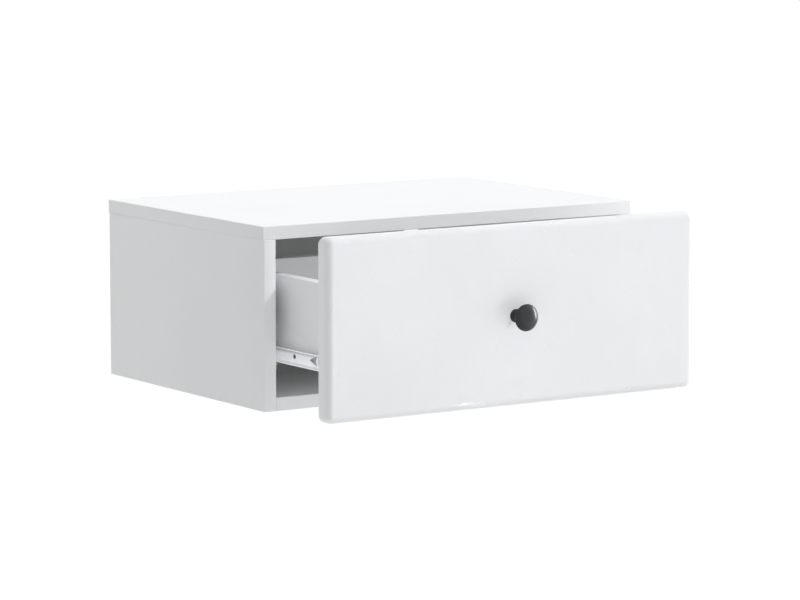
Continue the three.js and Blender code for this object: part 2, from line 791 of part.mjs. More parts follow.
for (const [hand, side] of Object.entries(hands)) {
  place(carcass, `${hand}_side_panel`, sidePanel(side), boardWhite);
  const joints = { ...topJoints(side), ...bottomJoints(side), ...backJoint(side) };
  for (const [joint, { cam, bolt }] of Object.entries(joints)) {
    place(carcass, `${hand}_${joint}_cam`, cam, camZinc);
    place(carcass, `${hand}_${joint}_cam_bolt`, bolt, screwSteel);
  }
  place(carcass, `${hand}_top_dowel`, dowel(dowelPlace(side)), beech);
  place(carcass, `${hand}_outer_rail`, outerRail(side), railSteel);
  for (const { end, at, axis } of outerScrews(side)) {
    place(carcass, `${hand}_outer_rail_${end}_screw`, panScrew(at, axis), screwSteel);
  }
  place(outerCages, `${hand}_outer_ball_cage`, ballCage(side, outerCageDepth, outerRowDepth, outerRowHeight), cageSteel);
  place(middleRails, `${hand}_middle_rail`, middleRail(side), railSteel);
  place(innerCages, `${hand}_inner_ball_cage`, ballCage(side, innerCageDepth, innerRowDepth, innerRowHeight), cageSteel);
  place(drawer, `${hand}_inner_rail`, innerRail(side), railSteel);
  for (const { end, at, axis } of innerScrews(side)) {
    place(drawer, `${hand}_inner_rail_${end}_screw`, panScrew(at, axis), screwSteel);
  }
  place(drawer, `${hand}_drawer_side`, drawerSide(side), drawerWhite);
  const { cam, bolt } = drawerFrontJoint(side);
  place(drawer, `${hand}_drawer_front_cam`, cam, camZinc);
  place(drawer, `${hand}_drawer_front_cam_bolt`, bolt, screwSteel);
  for (const { level, at, axis } of backScrews(side)) {
    place(drawer, `${hand}_drawer_back_${level}_screw`, countersunkScrew(at, axis), screwSteel);
  }
}

const assembly = new THREE.Group();
assembly.position.set(0, -carcassDepth, -underTop / 2);
assembly.add(carcass, middleRails, outerCages, innerCages, drawer);

const nightstand = new THREE.Group();
nightstand.add(assembly);

export default nightstand;
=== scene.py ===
import json
import math

import bmesh
import bpy
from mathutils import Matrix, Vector


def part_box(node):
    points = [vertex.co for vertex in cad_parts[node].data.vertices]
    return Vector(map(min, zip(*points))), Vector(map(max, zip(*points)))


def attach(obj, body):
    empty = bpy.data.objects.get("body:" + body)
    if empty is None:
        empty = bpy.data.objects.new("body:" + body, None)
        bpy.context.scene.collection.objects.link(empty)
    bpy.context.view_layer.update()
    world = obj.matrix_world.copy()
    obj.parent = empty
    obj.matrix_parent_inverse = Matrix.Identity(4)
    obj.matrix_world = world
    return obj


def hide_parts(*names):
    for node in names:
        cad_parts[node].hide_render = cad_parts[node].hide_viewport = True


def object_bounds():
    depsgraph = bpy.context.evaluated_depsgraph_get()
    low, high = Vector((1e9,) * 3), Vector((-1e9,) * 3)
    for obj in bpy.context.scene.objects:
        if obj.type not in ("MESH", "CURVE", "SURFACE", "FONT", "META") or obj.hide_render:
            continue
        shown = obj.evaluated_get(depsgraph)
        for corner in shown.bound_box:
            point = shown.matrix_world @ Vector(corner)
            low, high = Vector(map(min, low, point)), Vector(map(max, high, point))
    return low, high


# Looks for a wall-hung bedside cabinet with one drawer. Lengths are in metres in the part's frame:
# +Z is up, the wall face is at y = 0 and the drawer opens towards -Y.

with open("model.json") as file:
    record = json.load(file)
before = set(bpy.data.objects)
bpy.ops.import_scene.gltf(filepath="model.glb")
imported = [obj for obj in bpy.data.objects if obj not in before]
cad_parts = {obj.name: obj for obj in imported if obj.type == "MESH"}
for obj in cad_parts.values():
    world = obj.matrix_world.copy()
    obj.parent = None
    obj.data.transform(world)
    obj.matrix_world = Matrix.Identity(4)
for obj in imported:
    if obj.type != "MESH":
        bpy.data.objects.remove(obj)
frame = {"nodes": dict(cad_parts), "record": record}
cad_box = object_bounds()
nodes = frame["nodes"]

MM = 0.001
HANDS = {"left": -1, "right": 1}
X_AXIS = 0
Y_AXIS = 1

# Camera, fitted to the photograph's two-point perspective, with its turns in degrees
CAMERA_PLACE = (-2.4565, -3.9536, 0.5783)
CAMERA_YAW = 33.466
CAMERA_PITCH = 7.396
CAMERA_LENS = 175.4
SENSOR_WIDTH = 36

# Light: a rig of soft suns, each by the direction in which it lies, its strength and its angle in
# degrees, with a glow from above and behind and a weaker one from the ceiling. The eye sees plain
# white, and so do mirrors, which leave out the suns: their glare would blot out a whole white face
# from some sides.
WORLD_SEEN = 1.0
REAR_GLOW_DIRECTION = (0, 0.7071, 0.7071)
REAR_GLOW = 1.052
CEILING_GLOW_DIRECTION = (0, 0, 1)
CEILING_GLOW = 0.451
GLOW_POWER = 2
SUNS = {
    "key": ((1, -0.66, 1), 1.494, 7),
    "front_right_softbox": ((1, -1, 0.3), 0.955, 60),
    "front_left_softbox": ((-1, -1, 0.3), 0.334, 60),
}
KEY_COLOUR = (0.985, 0.985, 1.05)
FRONT_FILL = ((0, -1, 0), 0.172)
SLIDE_LIGHT_STRENGTH = 2.4
SLIDE_LIGHT_ANGLE = 10
SLIDE_LIGHT_DIRECTIONS = {"left": (-1, -0.15, 0.6), "right": (1, -0.15, 0.6)}
KNOB_LIGHTS = {
    "knob_side_light": ((1, 0.1, 0.12), 3.5, 34),
    "knob_front_light": ((0.7, -1, 0.3), 1.9, 120),
}
PIECE_LIGHTS = {
    "top_panel": ((0.3, -1.1, 1), 0.22),
    "drawer_back": ((0, -1, 0), 0.38),
    "drawer_front": ((0, -1, 0), 0.04),
}

# Stage
FLOOR_DROP = 0.55
FLOOR_HALF_WIDTH = 30
FLOOR_COLOUR = (0.86, 0.86, 0.86)
FLOOR_ROUGHNESS = 0.9
FLOOR_GLOW_SHARE = 0.8
FLOOR_GLOW = 1.05

# Finishes, as linear colours
BOARD_WHITE = (0.893, 0.902, 0.9)
FRONT_WHITE = (0.893, 0.902, 0.9)
DRAWER_WHITE = (0.875, 0.885, 0.88)
# Whiter edging on the drawer boards' upper faces: partly their own colour, partly painted light
EDGING_AND_TOP_LIGHT_WHITE = (0.94, 0.945, 0.945)
HARDBOARD_WHITE = (0.84, 0.845, 0.845)
CHIP_CORE = (0.60, 0.50, 0.38)
# Painted shade in the drawer sides' free screw holes, darkening their chip core
HOLE_CORE_PAINTED_SHADE = (0.15, 0.14, 0.125)
SLIDE_STEEL = (0.68, 0.685, 0.70)
CAGE_STEEL = (0.62, 0.63, 0.64)
SCREW_STEEL = (0.62, 0.63, 0.65)
CAM_ZINC = (0.50, 0.505, 0.52)
BEECH = (0.58, 0.40, 0.23)
KNOB_DARK = (0.036, 0.0365, 0.039)
# Painted shade: the steel behind the inner rails' windows is darker than the rail, and darker still towards
# the tongue's tip
WINDOW_STEEL_PAINTED_SHADE = (0.42, 0.42, 0.43)
LANCE_TIP_PAINTED_SHADE = (0.15, 0.15, 0.155)

# The finishes' structure. Sizes are those of its features and depths those of its bumps. A shade is
# the share of the colour that the darker or lighter patches have, and a spread is how far the
# roughness goes under and over its middle value.
BOARD_CLOUD_SIZE = 110 * MM
BOARD_CLOUD_SHADE = 0.975
BOARD_WAVE_SIZE = 30 * MM
BOARD_WAVE_DEPTH = 0.03 * MM
BOARD_PEARL_DEPTH = 0.010 * MM
BOARD_SPREAD = (0.05, 0.07)
BOARD_SPECULAR = 0.45
CHIP_SIZE = 1.8 * MM
CHIP_SHADE = 1.5
STRIP_LINE_SIZE = 0.9 * MM
STRIP_LINE_DEPTH = 0.008 * MM
STRIP_CLOUD_SIZE = 18 * MM
STRIP_CLOUD_SHADE = 0.93
STRIP_CLOUD_DEPTH = 0.02 * MM
STRIP_SPREAD = (0.07, 0.09)
RAIL_STREAK = 0.04
RAIL_METALLIC = 0.3
CAST_SKIN_SIZE = 0.7 * MM
CAST_SKIN_DEPTH = 0.025 * MM
CAST_SPOT_SIZE = 4 * MM
CAST_SPOT_SHADE = 0.78
CAST_SPREAD = (0.08, 0.12)
COAT_CLOUD_SIZE = 6 * MM
COAT_CLOUD_SHADE = 0.9
COAT_CLOUD_DEPTH = 0.01 * MM
COAT_SPECK_SIZE = 0.8 * MM
COAT_SPECK_DEPTH = 0.004 * MM
COAT_ROUGHNESS = 0.2
COAT_SPREAD = (0, 0.07)
COAT_SPECULAR = 0.2
WOOD_RING_SIZE = 2.2 * MM
WOOD_RING_SHADE = 0.75
WOOD_RING_STRETCH = 0.08
WOOD_PORE_SIZE = 0.4 * MM
WOOD_PORE_DEPTH = 0.04 * MM
WOOD_PORE_STRETCH = 0.12
WOOD_ROUGHNESS = 0.62
WOOD_SPREAD = (0, 0.18)

# A surface faces along an axis where its normal's share of that axis is over this
FACING_SHARE = 0.5

# The sockets in which a mix node has its two colours and their mixture
MIX_COLOUR_INPUTS = (6, 7)
MIX_COLOUR_OUTPUT = 2

# Edges this much turned or more are sharp, in degrees
CREASE_ANGLE = 38
BALL_CREASE_ANGLE = 60
WELD_DISTANCE = 0.01 * MM

# Boards' long edges, which are eased a little
ARRIS_ANGLE = 60
ARRIS_MIN_LENGTH = 30 * MM
ARRIS_EASE = 0.9 * MM
ARRIS_SEGMENTS = 2

# Wall-fixing slots, whose walls show the board's core
WALL_SLOT_X = 0.1685
WALL_SLOT_Z = 0.05
WALL_SLOT_HALF_LENGTH = 15.5 * MM
WALL_SLOT_HALF_HEIGHT = 6 * MM
WALL_SLOT_MARGIN = 0.3 * MM

# Places on the inner rails, measured back from the slide's front end, and the level of the slides
SLIDE_FRONT_Y = -0.438
SLIDE_Z = -0.033
DRAWER_SIDE_X = 0.2213
FREE_HOLE_PLACE = 74 * MM
PILOT_HOLE_REACH = 2.5 * MM
ROUND_WINDOW_PLACE = 21 * MM
ROUND_WINDOW_RADIUS = 5.2 * MM
BOWED_WEB_RADIUS = 8.5 * MM
LANCE_TIP_PLACE = 43 * MM
LANCE_FADE_PLACE = 33 * MM
WINDOW_CLEARANCE = 0.4 * MM
LANCE_HALF_TURN = math.radians(36)
LANCE_HALF_STEPS = 4
WINDOW_STEPS = 24
WINDOW_INNER_X = DRAWER_SIDE_X + 0.08 * MM
DISC_OUTER_X = DRAWER_SIDE_X + 0.35 * MM
TONGUE_TIP_X = DRAWER_SIDE_X + 0.3 * MM
TONGUE_ROOT_X = DRAWER_SIDE_X + 0.85 * MM

# Screws, with the solids' sizes. A ring has a corner at every EVEN_STEP where no recess moves it. In
# each quarter one corner is at the middle of the recess's arm, and three are on the arm's floor.
QUARTERS = 4
QUARTER_TURN = 2 * math.pi / QUARTERS
CORNERS_A_QUARTER = 6
RING_CORNERS = QUARTERS * CORNERS_A_QUARTER
EVEN_STEP = QUARTER_TURN / CORNERS_A_QUARTER
ARM_MIDDLE_PLACE = 2
ARM_FLOOR_PLACES = (1, 2, 3)
THREAD_ROWS = 5
THREAD_RIDGE_SHARE = 0.35
HEAD_EDGE_SHARE = 1.04
HEAD_DOME_POWER = 4
HEAD_RING_SHARES = (0.35, 0.7, 0.9, 1)
RECESS_FLOOR_SHARE = 0.2
RECESS_RING_SHARES = (0.42, 0.65, 0.85)
RECESS_WALL_SHARE = 0.7
RECESS_TAPER_SHARE = 1.25
PAN_SCREW = {
    "head_radius": 3.3 * MM, "dome_height": 1.1 * MM, "recess_reach": 1.9 * MM, "recess_depth": 0.8 * MM,
    "recess_half_width": 0.42 * MM, "crest": 1.9 * MM, "root": 1.4 * MM, "pitch": 1.5 * MM,
    "shank_start": 0.05 * MM, "length": 12 * MM, "point": 3 * MM,
}
SUNK_SCREW = {
    "head_radius": 4 * MM, "dome_height": 0, "recess_reach": 2.5 * MM, "recess_depth": 1.5 * MM,
    "recess_half_width": 0.5 * MM, "crest": 2 * MM, "root": 1.4 * MM, "pitch": 2.2 * MM,
    "shank_start": 2.4 * MM, "length": 40 * MM, "point": 4 * MM,
}
KNOB_SCREW = {
    "head_radius": 4 * MM, "dome_height": 2.5 * MM, "recess_reach": 2.2 * MM, "recess_depth": 1.5 * MM,
    "recess_half_width": 0.5 * MM, "crest": 2 * MM, "root": 1.65 * MM, "pitch": 0.7 * MM,
    "shank_start": 0.05 * MM, "length": 26 * MM, "point": 0.6 * MM,
}


# Node tree helpers

class Tree:
    """A node tree, with short ways to add to it."""

    def __init__(self, tree):
        self.tree = tree

    def node(self, kind, **settings):
        made = self.tree.nodes.new(kind)
        for key, value in settings.items():
            setattr(made, key, value)
        return made

    def link(self, source, target):
        self.tree.links.new(source, target)

    def maths(self, operation, first, second=0):
        made = self.node("ShaderNodeMath", operation=operation)
        for socket, value in ((made.inputs[0], first), (made.inputs[1], second)):
            if isinstance(value, (int, float)):
                socket.default_value = value
            else:
                self.link(value, socket)
        return made.outputs[0]


def shade(colour, share):
    return tuple(c * share for c in colour)


class Shader(Tree):
    """A material's node tree, with the few nodes that the finishes here are made of."""

    def __init__(self, name):
        self.material = bpy.data.materials.new(name)
        self.material.use_nodes = True
        super().__init__(self.material.node_tree)
        self.bsdf = self.tree.nodes["Principled BSDF"]
        self.place = self.node("ShaderNodeTexCoord").outputs["Object"]

    def stretched(self, scale):
        mapping = self.node("ShaderNodeMapping")
        mapping.inputs["Scale"].default_value = scale
        self.link(self.place, mapping.inputs["Vector"])
        return mapping.outputs["Vector"]

    def noise(self, size, detail=3, roughness=0.5, scale=(1, 1, 1)):
        """Noise whose features are about this size in metres."""
        made = self.node("ShaderNodeTexNoise")
        made.inputs["Scale"].default_value = 1 / size
        made.inputs["Detail"].default_value = detail
        made.inputs["Roughness"].default_value = roughness
        self.link(self.stretched(scale), made.inputs["Vector"])
        return made.outputs["Fac"]

    def between(self, value, low, high, from_low=0.3, from_high=0.7):
        """A value spread from one range to another. Noise stays mostly between 0.3 and 0.7."""
        made = self.node("ShaderNodeMapRange")
        made.inputs["From Min"].default_value = from_low
        made.inputs["From Max"].default_value = from_high
        made.inputs["To Min"].default_value = low
        made.inputs["To Max"].default_value = high
        self.link(value, made.inputs["Value"])
        return made.outputs["Result"]

    def mixed(self, factor, first, second):
        made = self.node("ShaderNodeMix", data_type="RGBA")
        self.link(factor, made.inputs["Factor"])
        for place, colour in zip(MIX_COLOUR_INPUTS, (first, second)):
            if isinstance(colour, tuple):
                made.inputs[place].default_value = (*colour, 1)
            else:
                self.link(colour, made.inputs[place])
        return made.outputs[MIX_COLOUR_OUTPUT]

    def axes(self, vector):
        """The three parts of a vector."""
        made = self.node("ShaderNodeSeparateXYZ")
        self.link(vector, made.inputs["Vector"])
        return [made.outputs[axis] for axis in ("X", "Y", "Z")]

    def facing(self):
        """The way in which the surface faces."""
        return self.axes(self.node("ShaderNodeNewGeometry").outputs["True Normal"])

    def colour(self, noise, colour, share):
        """Gives the surface its colour, with patches of a shade of it."""
        patched = self.mixed(self.between(noise, 0, 1), colour, shade(colour, share))
        self.link(patched, self.bsdf.inputs["Base Color"])

    def cover(self, share, colour):
        """Lays another colour over the surface's own, by a share from 0 to 1."""
        own = self.bsdf.inputs["Base Color"].links[0].from_socket
        self.link(self.mixed(share, own, colour), self.bsdf.inputs["Base Color"])

    def roughen(self, noise, middle, spread):
        """Gives the surface its roughness, which varies under and over a middle value."""
        varied = self.between(noise, middle - spread[0], middle + spread[1])
        self.link(varied, self.bsdf.inputs["Roughness"])

    def bump(self, *heights):
        """Bumps from (height, depth in metres) pairs, the first on top of the others."""
        normal = None
        for height, depth in reversed(heights):
            made = self.node("ShaderNodeBump")
            made.inputs["Distance"].default_value = depth
            made.inputs["Strength"].default_value = 1
            self.link(height, made.inputs["Height"])
            if normal is not None:
                self.link(normal, made.inputs["Normal"])
            normal = made.outputs["Normal"]
        self.link(normal, self.bsdf.inputs["Normal"])


# Finishes

def melamine(name, colour, roughness, pearl_size):
    """A white faced board: a fine pearl structure, with a slight unevenness of colour and gloss."""
    s = Shader(name)
    clouds = s.noise(BOARD_CLOUD_SIZE, detail=4)
    s.colour(clouds, colour, BOARD_CLOUD_SHADE)
    pearl = s.noise(pearl_size, detail=2)
    waves = s.noise(BOARD_WAVE_SIZE, detail=2)
    s.roughen(pearl, roughness, BOARD_SPREAD)
    s.bump((pearl, BOARD_PEARL_DEPTH), (waves, BOARD_WAVE_DEPTH))
    s.bsdf.inputs["Specular IOR Level"].default_value = BOARD_SPECULAR
    return s


def chip_core(s):
    """The colour of a sawn or drilled particle board."""
    chips = s.noise(CHIP_SIZE, detail=5, roughness=0.7)
    return s.mixed(s.between(chips, 0, 1), CHIP_CORE, shade(CHIP_CORE, CHIP_SHADE))


def cored_melamine(name, colour, roughness, pearl_size):
    """The back panel's board, whose chip core shows on the walls of its two wall-fixing slots."""
    s = melamine(name, colour, roughness, pearl_size)
    x, y, z = s.axes(s.place)
    along = s.maths("ABSOLUTE", s.maths("SUBTRACT", s.maths("ABSOLUTE", x), WALL_SLOT_X))
    across = s.maths("ABSOLUTE", s.maths("SUBTRACT", z, WALL_SLOT_Z))
    inside_length = s.maths("LESS_THAN", along, WALL_SLOT_HALF_LENGTH + WALL_SLOT_MARGIN)
    inside_height = s.maths("LESS_THAN", across, WALL_SLOT_HALF_HEIGHT + WALL_SLOT_MARGIN)
    inside = s.maths("MULTIPLY", inside_length, inside_height)
    wall = s.maths("LESS_THAN", s.maths("ABSOLUTE", s.facing()[1]), FACING_SHARE)
    s.cover(s.maths("MULTIPLY", inside, wall), chip_core(s))
    return s


def edged_melamine(name, colour, roughness, pearl_size):
    """The drawer's boards: a whiter edging along the top, partly its own colour and partly painted light on
    the faces that look up, and painted shade over the drilled core in the free screw holes.
    """
    s = melamine(name, colour, roughness, pearl_size)
    # Partly painted light: every face that looks up is whiter, partly for the edging's own colour and partly
    # for the light that the top edges catch.
    s.cover(s.maths("GREATER_THAN", s.facing()[2], FACING_SHARE), EDGING_AND_TOP_LIGHT_WHITE)
    # Painted shade: the free screw holes are painted dark, darker than their drilled chip core
    x, y, z = s.axes(s.place)
    along = s.maths("POWER", s.maths("SUBTRACT", y, SLIDE_FRONT_Y + FREE_HOLE_PLACE), 2)
    across = s.maths("POWER", s.maths("SUBTRACT", z, SLIDE_Z), 2)
    in_hole = s.maths("LESS_THAN", s.maths("ADD", along, across), PILOT_HOLE_REACH ** 2)
    s.cover(in_hole, HOLE_CORE_PAINTED_SHADE)
    return s


def plated_steel(name, colour, roughness, streak, metallic):
    """Zinc-plated strip: fine drawing lines along the rail and a slight cloudiness."""
    s = Shader(name)
    lines = s.noise(STRIP_LINE_SIZE, detail=3, scale=(1, streak, 1))
    clouds = s.noise(STRIP_CLOUD_SIZE, detail=3)
    s.colour(clouds, colour, STRIP_CLOUD_SHADE)
    s.roughen(lines, roughness, STRIP_SPREAD)
    s.bump((lines, STRIP_LINE_DEPTH), (clouds, STRIP_CLOUD_DEPTH))
    s.bsdf.inputs["Metallic"].default_value = metallic
    return s


def painted_shade_steel(name, roughness):
    """Strip pressed back behind the inner rail's face, darker than the rail as painted shade, and darker
    still towards the tip of the tongue, also painted shade.
    """
    s = plated_steel(name, WINDOW_STEEL_PAINTED_SHADE, roughness, RAIL_STREAK, RAIL_METALLIC)
    fade_start = SLIDE_FRONT_Y + LANCE_FADE_PLACE
    fade_end = SLIDE_FRONT_Y + LANCE_TIP_PLACE
    # Painted shade, growing darker towards the tongue's tip
    s.cover(s.between(s.axes(s.place)[1], 0, 1, fade_start, fade_end), LANCE_TIP_PAINTED_SHADE)
    return s


def cast_metal(name, colour, roughness):
    """A small die casting with a finely pitted skin."""
    s = Shader(name)
    skin = s.noise(CAST_SKIN_SIZE, detail=4, roughness=0.65)
    spots = s.noise(CAST_SPOT_SIZE, detail=3)
    s.colour(spots, colour, CAST_SPOT_SHADE)
    s.roughen(skin, roughness, CAST_SPREAD)
    s.bump((skin, CAST_SKIN_DEPTH))
    s.bsdf.inputs["Metallic"].default_value = 1
    return s


def dark_plate(name, colour):
    """The knob: a casting with a dark grey glossy coat, smooth but for faint specks and waves."""
    s = Shader(name)
    clouds = s.noise(COAT_CLOUD_SIZE, detail=3)
    specks = s.noise(COAT_SPECK_SIZE, detail=2)
    s.colour(clouds, colour, COAT_CLOUD_SHADE)
    s.roughen(specks, COAT_ROUGHNESS, COAT_SPREAD)
    s.bump((specks, COAT_SPECK_DEPTH), (clouds, COAT_CLOUD_DEPTH))
    s.bsdf.inputs["Specular IOR Level"].default_value = COAT_SPECULAR
    return s


def bare_wood(name, colour):
    """Beech: short fine pores along the grain, which runs up the dowel."""
    s = Shader(name)
    rings = s.noise(WOOD_RING_SIZE, detail=4, scale=(1, 1, WOOD_RING_STRETCH))
    pores = s.noise(WOOD_PORE_SIZE, detail=3, roughness=0.7, scale=(1, 1, WOOD_PORE_STRETCH))
    s.colour(rings, colour, WOOD_RING_SHADE)
    s.roughen(pores, WOOD_ROUGHNESS, WOOD_SPREAD)
    s.bump((pores, WOOD_PORE_DEPTH))
    return s


finishes = {
    "white_board": melamine("white_board_finish", BOARD_WHITE, roughness=0.42, pearl_size=1.2 * MM),
    "white_front": melamine("white_front_finish", FRONT_WHITE, roughness=0.36, pearl_size=2.2 * MM),
    "drawer_board": edged_melamine("drawer_board_finish", DRAWER_WHITE, roughness=0.48, pearl_size=1.2 * MM),
    "hardboard": melamine("hardboard_finish", HARDBOARD_WHITE, roughness=0.55, pearl_size=0.8 * MM),
    "slide_steel": plated_steel("slide_steel_finish", SLIDE_STEEL, 0.4, RAIL_STREAK, RAIL_METALLIC),
    "cage_steel": plated_steel("cage_steel_finish", CAGE_STEEL, roughness=0.26, streak=0.2, metallic=0.9),
    "screw_steel": cast_metal("screw_steel_finish", SCREW_STEEL, roughness=0.3),
    "cam_zinc": cast_metal("cam_zinc_finish", CAM_ZINC, roughness=0.42),
    "beech": bare_wood("beech_finish", BEECH),
    "dark_knob": dark_plate("dark_knob_finish", KNOB_DARK),
}
back_finish = cored_melamine("back_board_finish", BOARD_WHITE, roughness=0.42, pearl_size=1.2 * MM)


# Modifiers for shading and for the boards' edges, which leave the solids' meshes alone

class Geometry(Tree):
    """A geometry node group, whose steps follow one another."""

    def __init__(self, name):
        super().__init__(bpy.data.node_groups.new(name, "GeometryNodeTree"))
        for way in ("INPUT", "OUTPUT"):
            self.tree.interface.new_socket("Geometry", in_out=way, socket_type="NodeSocketGeometry")

    def compared(self, value, operation, limit):
        made = self.node("FunctionNodeCompare", operation=operation)
        made.inputs["B"].default_value = limit
        self.link(value, made.inputs["A"])
        return made.outputs["Result"]

    def edge_turn(self):
        return self.node("GeometryNodeInputMeshEdgeAngle").outputs["Unsigned Angle"]

    def chain(self, *steps):
        """Welds the mesh's corners and then takes it through the steps."""
        weld = self.node("GeometryNodeMergeByDistance")
        weld.inputs["Distance"].default_value = WELD_DISTANCE
        line = [self.node("NodeGroupInput"), weld, *steps, self.node("NodeGroupOutput")]
        for first, second in zip(line, line[1:]):
            self.link(first.outputs["Geometry"], second.inputs["Geometry"])


def smoothing(name, crease):
    """Smooth shading over every edge that turns by less than the crease angle."""
    g = Geometry(name)
    plain = g.node("GeometryNodeRemoveAttribute")
    plain.inputs["Name"].default_value = "custom_normal"
    soft = g.node("GeometryNodeSetShadeSmooth", domain="FACE")
    edges = g.node("GeometryNodeSetShadeSmooth", domain="EDGE")
    g.link(g.compared(g.edge_turn(), "LESS_THAN", math.radians(crease)), edges.inputs["Shade Smooth"])
    g.chain(plain, soft, edges)
    return g.tree


def arris_marks():
    """Marks a board's long sharp edges for the easing modifier, and leaves its drilled holes alone."""
    g = Geometry("arris_marks")
    marks = g.node("GeometryNodeStoreNamedAttribute", data_type="FLOAT", domain="EDGE")
    marks.inputs["Name"].default_value = "bevel_weight_edge"
    ends = g.node("GeometryNodeInputMeshEdgeVertices")
    length = g.node("ShaderNodeVectorMath", operation="DISTANCE")
    g.link(ends.outputs["Position 1"], length.inputs[0])
    g.link(ends.outputs["Position 2"], length.inputs[1])
    both = g.node("FunctionNodeBooleanMath")
    g.link(g.compared(g.edge_turn(), "GREATER_THAN", math.radians(ARRIS_ANGLE)), both.inputs[0])
    g.link(g.compared(length.outputs["Value"], "GREATER_THAN", ARRIS_MIN_LENGTH), both.inputs[1])
    g.link(both.outputs["Boolean"], marks.inputs["Value"])
    g.chain(marks)
    return g.tree


smooth = smoothing("smooth_by_angle", CREASE_ANGLE)
smooth_balls = smoothing("smooth_balls", BALL_CREASE_ANGLE)
marked = arris_marks()


def eased(piece):
    """Rounds a board's long edges a little, as their edging is."""
    marks = piece.modifiers.new("arris_marks", "NODES")
    marks.node_group = marked
    ease = piece.modifiers.new("eased_edges", "BEVEL")
    ease.limit_method = "WEIGHT"
    ease.width = ARRIS_EASE
    ease.segments = ARRIS_SEGMENTS


def smoothed(piece, group):
    modifier = piece.modifiers.new("smooth", "NODES")
    modifier.node_group = group


for entry in frame["record"]["subparts"]:
    name = entry["node"]
    piece = nodes[name]
    piece.data.materials.clear()
    finish = back_finish if name == "back_panel" else finishes[entry["material_slot"]]
    piece.data.materials.append(finish.material)
    if name.endswith(("_panel", "_drawer_side", "drawer_back")):
        eased(piece)
    smoothed(piece, smooth_balls if name.endswith("ball_cage") else smooth)


# New pieces

def solid_piece(name, corners, faces, finish):
    """A closed mesh of its own with its faces turned outwards."""
    mesh = bpy.data.meshes.new(name)
    mesh.from_pydata(corners, [], faces)
    solid = bmesh.new()
    solid.from_mesh(mesh)
    bmesh.ops.recalc_face_normals(solid, faces=solid.faces)
    solid.to_mesh(mesh)
    solid.free()
    mesh.materials.append(finish.material)
    made = bpy.data.objects.new(name, mesh)
    bpy.context.scene.collection.objects.link(made)
    return made


# Pressed-back steel in the inner rails' windows, darker than the rail as painted shade

def plate(name, outline, finish):
    """A closed thin plate from (y, z, outer x, inner x) corners, in the order in which they go round."""
    corners = [(outer, y, z) for y, z, outer, inner in outline]
    corners += [(inner, y, z) for y, z, outer, inner in outline]
    count = len(outline)
    faces = [tuple(range(count)), tuple(range(2 * count - 1, count - 1, -1))]
    faces += [(i, i + count, (i + 1) % count + count, (i + 1) % count) for i in range(count)]
    return solid_piece(name, corners, faces, finish)


def window_steel(hand, side, finish):
    """The tongue in the three-cornered window and the disc in the round one, just behind the rail's face.
    The disc is a dark sheet that stands in for the shade in the round window, and both are darker than the
    rail as painted shade.
    """
    middle = SLIDE_FRONT_Y + ROUND_WINDOW_PLACE
    inner = side * WINDOW_INNER_X

    def on_arc(radius, turn, outer):
        return (middle + radius * math.cos(turn), SLIDE_Z + radius * math.sin(turn), side * outer, inner)

    disc = []
    for step in range(WINDOW_STEPS):
        turn = 2 * math.pi * step / WINDOW_STEPS
        disc.append(on_arc(ROUND_WINDOW_RADIUS - WINDOW_CLEARANCE, turn, DISC_OUTER_X))
    tip = SLIDE_FRONT_Y + LANCE_TIP_PLACE - 2 * WINDOW_CLEARANCE
    tongue = [(tip, SLIDE_Z, side * TONGUE_TIP_X, inner)]
    for step in range(-LANCE_HALF_STEPS, LANCE_HALF_STEPS + 1):
        turn = LANCE_HALF_TURN * step / LANCE_HALF_STEPS
        tongue.append(on_arc(BOWED_WEB_RADIUS + WINDOW_CLEARANCE, turn, TONGUE_ROOT_X))
    for kind, outline in (("round_window_shade_disc", disc), ("lance_tongue", tongue)):
        made = plate(f"{hand}_{kind}", outline, finish)
        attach(made, "drawer")


# Darker steel in the windows, as painted shade
window_shade_finish = painted_shade_steel("lanced_steel_finish", roughness=0.45)
for hand, side in HANDS.items():
    window_steel(hand, side, window_shade_finish)


# Screws with cross recesses and threads, in place of the plain ones and of the same size

def head_top(radius, kind):
    """Where the head's top lies at this radius, from its seat: a dome, or flat for a sunk head."""
    share = radius / (HEAD_EDGE_SHARE * kind["head_radius"])
    return -kind["dome_height"] * math.sqrt(max(0, 1 - share ** HEAD_DOME_POWER))


def head_ring(radius, kind, crossed, sunk_places):
    """A ring of (radius, turn, offset) corners. A crossed one has corners on the recess's walls."""
    edge = 2 * EVEN_STEP
    inner = EVEN_STEP
    if crossed:
        edge = math.asin(kind["recess_half_width"] / radius)
        inner = edge * RECESS_WALL_SHARE
    sunk = kind["recess_depth"] * (1 - radius / (kind["recess_reach"] * RECESS_TAPER_SHARE))
    corners = []
    for quarter in range(QUARTERS):
        for place, turn in enumerate((-edge, -inner, 0, inner, edge, QUARTER_TURN / 2)):
            offset = head_top(radius, kind) + (sunk if place in sunk_places else 0)
            corners.append((radius, turn + quarter * QUARTER_TURN, offset))
    return corners


def head_rings(kind):
    """The head's rings from the middle of its recess to its rim."""
    reach = kind["recess_reach"]
    rim = kind["head_radius"] - reach
    all_places = range(CORNERS_A_QUARTER)
    rings = [head_ring(reach * RECESS_FLOOR_SHARE, kind, False, all_places)]
    rings += [head_ring(reach * share, kind, True, ARM_FLOOR_PLACES) for share in RECESS_RING_SHARES]
    rings += [head_ring(reach, kind, True, ())]
    rings += [head_ring(reach + rim * share, kind, False, ()) for share in HEAD_RING_SHARES]
    return rings


